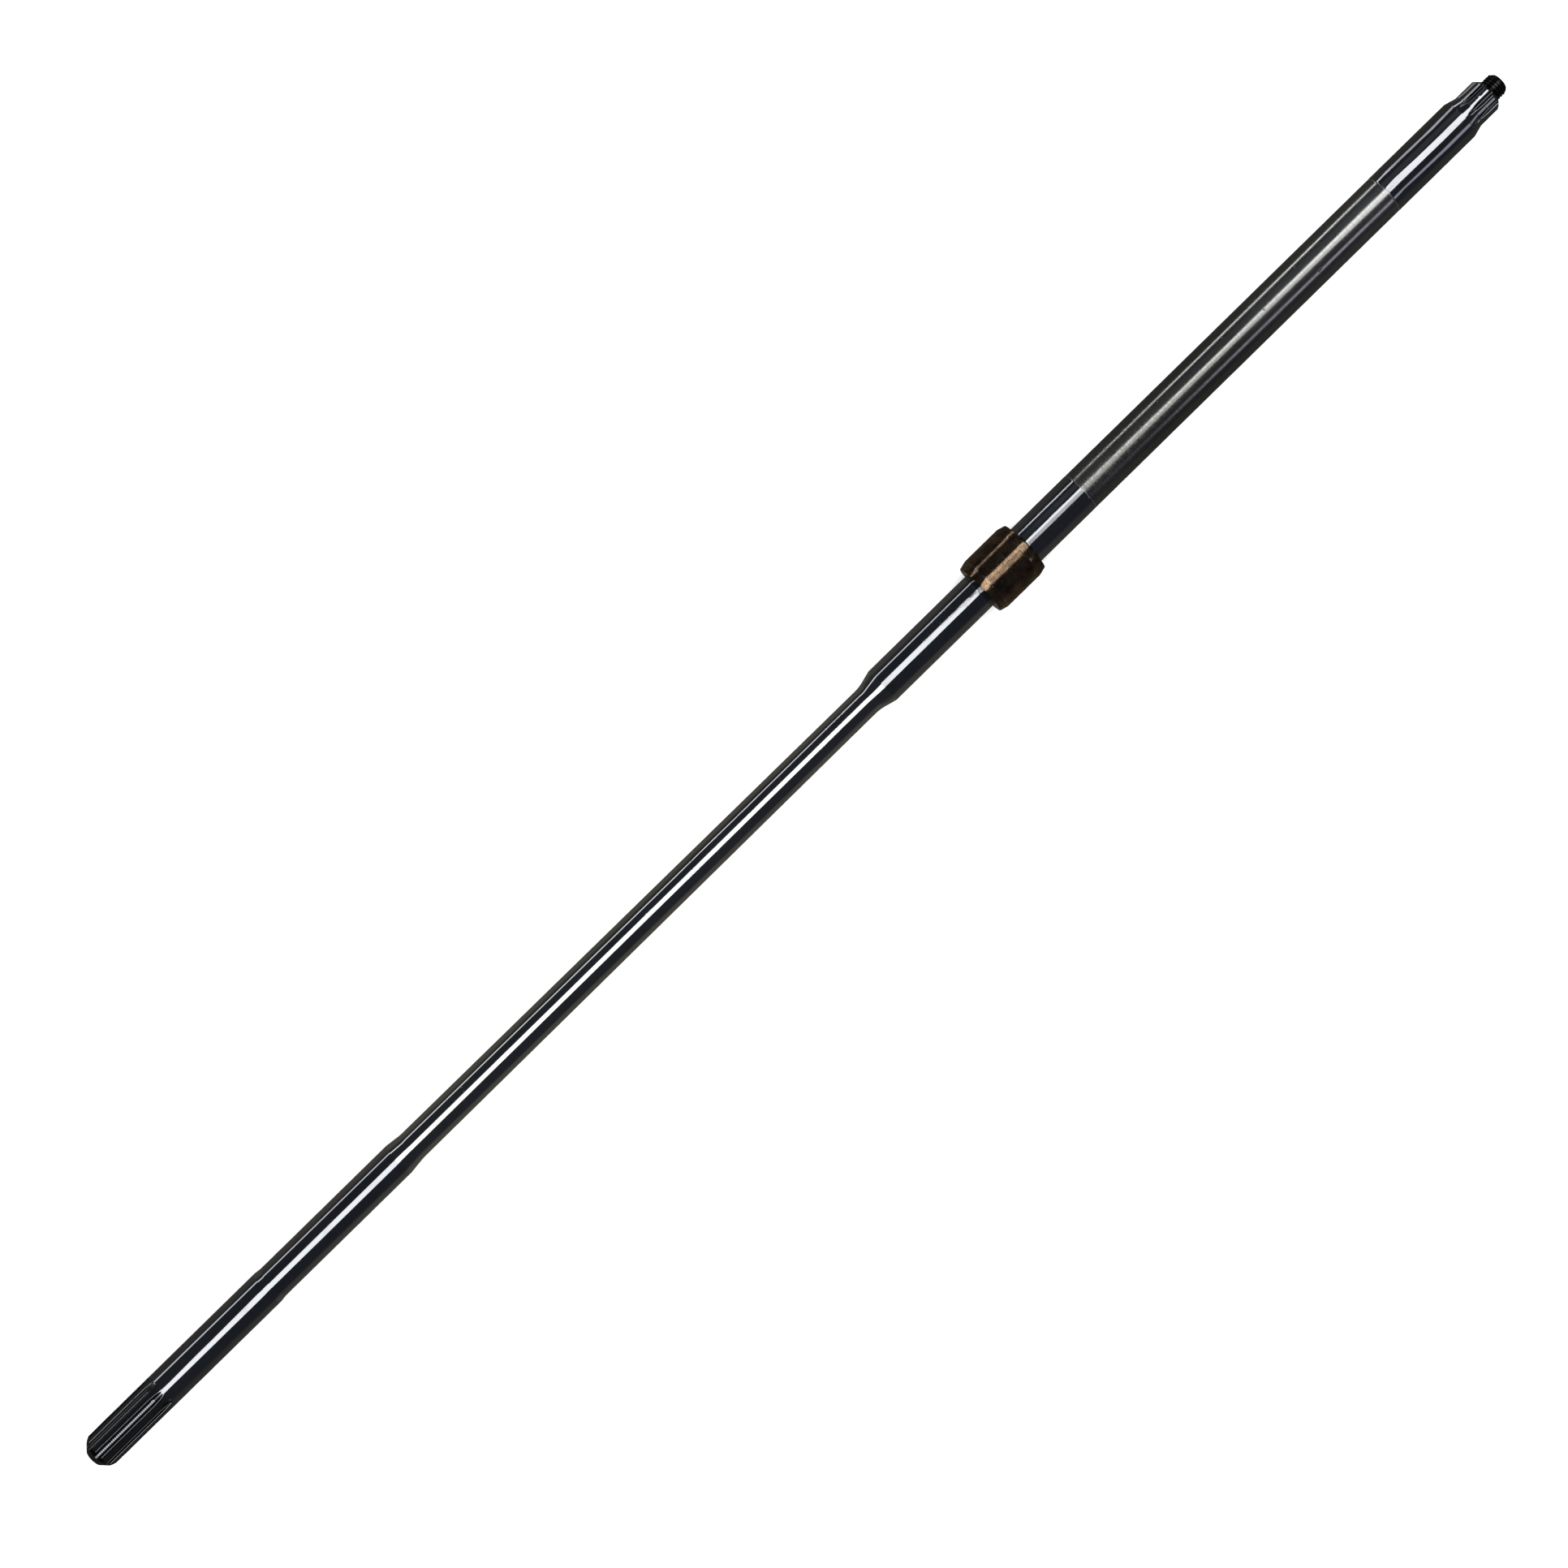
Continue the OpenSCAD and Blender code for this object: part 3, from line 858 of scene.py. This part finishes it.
def make_floor():
    """A plain pale floor, touching the bush's underside and the head's, as the shaft lies on it."""
    head_touch = Vector(((X_HEAD + HEAD_LEAD) * MM, 0, -R_HEAD * MM))
    bush_touch = Vector(((-BUSH_HALF + BUSH_LEAD) * MM, 0, -R_BUSH * MM))
    fall = (bush_touch - head_touch).normalized()
    corners = [bush_touch + fall * sx * FLOOR_HALF + Vector((0, sy * FLOOR_HALF, 0))
               for sx, sy in ((-1, -1), (1, -1), (1, 1), (-1, 1))]
    mesh = bpy.data.meshes.new("floor")
    mesh.from_pydata([tuple(c) for c in corners], [], [(0, 1, 2, 3)])
    floor = bpy.data.objects.new("floor", mesh)
    bpy.context.scene.collection.objects.link(floor)
    material, _, shader = new_material("pale_floor")
    shader.inputs["Base Color"].default_value = (0.93, 0.93, 0.93, 1)
    shader.inputs["Roughness"].default_value = 0.9
    shader.inputs["Specular IOR Level"].default_value = 0.1
    mesh.materials.append(material)
    floor.visible_glossy = False
    return floor


def strip_light(name, start, end, width, radiance, colour, seen_in_steel=True):
    """A rectangular light from start to end that faces the shaft. radiance is its brightness."""
    start, end = Vector(start), Vector(end)
    along = (end - start).normalized()
    middle = (start + end) / 2
    aim = Vector((middle.x, 0, 0)) - middle
    toward = (aim - along * aim.dot(along)).normalized()
    data = bpy.data.lights.new(name, "AREA")
    data.shape = "RECTANGLE"
    data.size = (end - start).length
    data.size_y = width
    data.energy = radiance * math.pi * data.size * width
    data.color = colour
    light = bpy.data.objects.new(name, data)
    light.location = middle
    up = (-toward).cross(along)
    light.rotation_mode = "QUATERNION"
    light.rotation_quaternion = Matrix((along, up, -toward)).transposed().to_quaternion()
    light.visible_camera = False
    light.visible_glossy = seen_in_steel
    bpy.context.scene.collection.objects.link(light)
    return light


def beside(x, angle_deg):
    """A place beside the shaft at x, turned from straight up towards +Y by an angle."""
    a = math.radians(angle_deg)
    return (x, SIDE_DISTANCE * math.sin(a), SIDE_DISTANCE * math.cos(a))


def make_lights():
    """Broad strips overhead, narrow ones low on the +Y side, faint ones on the other, and soft fill."""
    white = (1, 1, 1)
    cool = (0.97, 0.98, 1.0)
    violet = (0.92, 0.86, 1.0)
    high = 1.5
    strip_light("key_head", (-2.8, -0.264, high), (0.13, 0.0, high), 0.82, 1.95, white)
    strip_light("key_middle", (0.13, 0.255, high), (0.64, 0.255, high), 0.30, 1.95, white)
    strip_light("key_bush_dim", (0.13, -0.075, high), (0.19, -0.075, high), 0.36, 0.5, white)
    strip_light("key_journal_dim", (0.19, -0.125, high), (0.26, -0.125, high), 0.46, 0.95, white)
    strip_light("key_middle_dim", (0.26, -0.07, high), (0.64, -0.07, high), 0.35, 0.95, white)
    strip_light("upper_haze", beside(0.145, 39), beside(0.85, 39), 0.50, 0.035, cool)
    strip_light("key_pinion", (0.64, 0.07, high), (2.4, 0.07, high), 0.84, 1.95, white)
    strip_light("side_outer", beside(-2.6, 84), beside(-1.0, 80), 0.15, 1.1, cool)
    strip_light("side_head", beside(-1.0, 80), beside(-0.2, 63.5), 0.15, 1.1, cool)
    strip_light("side_shank", beside(-0.2, 63.5), beside(0.09, 69.5), 0.14, 1.1, cool)
    strip_light("side_bush", beside(0.09, 69.5), beside(0.14, 70.5), 0.12, 0.65, cool)
    strip_light("side_seat", beside(0.14, 70.5), beside(0.26, 72.5), 0.14, 1.3, cool)
    strip_light("side_satin", beside(0.26, 71.5), beside(0.525, 78.1), 0.14, 1.9, cool)
    strip_light("side_journal", beside(0.525, 78), beside(0.66, 86), 0.13, 0.75, cool)
    strip_light("side_pinion", beside(0.66, 90), beside(2.1, 97), 0.17, 1.2, cool)
    strip_light("far_middle", beside(0.30, -54), beside(0.66, -54), 0.26, 0.50, violet)
    strip_light("far_pinion", beside(1.2, -64), beside(2.1, -64), 0.26, 0.42, violet)
    strip_light("floor_fill", (-2.1, 0, 2.4), (1.9, 0, 2.4), 4.0, 0.9, white, seen_in_steel=False)


def make_world():
    """White to the camera, a soft dome to matt surfaces, and a dim workshop to polished ones."""
    world = bpy.data.worlds.new("studio")
    bpy.context.scene.world = world
    world.use_nodes = True
    tree = world.node_tree
    background = tree.nodes["Background"]
    direction = tree.nodes.new("ShaderNodeTexCoord").outputs["Generated"]
    split = tree.nodes.new("ShaderNodeSeparateXYZ")
    feed(tree, split.inputs[0], direction)
    lit_from = ramp(tree, split.outputs["X"], -0.29, -0.19)
    lit_to = ramp(tree, split.outputs["X"], 0.03, 0.18, 1.0, 0.0)
    lit = calc(tree, "MULTIPLY", lit_from, lit_to)
    bench = tint(tree, lit, BENCH_DIM, BENCH_LIT)
    dim = tint(tree, ramp(tree, split.outputs["Z"], -0.25, 0.2), bench, ROOM_DIM)
    path = tree.nodes.new("ShaderNodeLightPath")
    soft = tint(tree, path.outputs["Is Glossy Ray"], WORLD_SOFT, dim)
    seen = tint(tree, path.outputs["Is Camera Ray"], soft, WORLD_SEEN)
    feed(tree, background.inputs["Color"], seen)


def make_camera():
    """Straight above the shaft, which runs up to the right across the frame."""
    data = bpy.data.cameras.new("camera")
    data.sensor_width = 36
    data.lens = 67.1
    data.clip_end = 50
    camera = bpy.data.objects.new("camera", data)
    camera.location = (-0.121, -0.00054, 1.152)
    camera.rotation_euler = (0, 0, math.radians(-44.396))
    bpy.context.scene.collection.objects.link(camera)
    bpy.context.scene.camera = camera


bpy.context.scene.view_settings.view_transform = "Standard"
make_camera()
make_shaft(steel())
make_bush(bronze())
make_floor()
make_lights()
make_world()
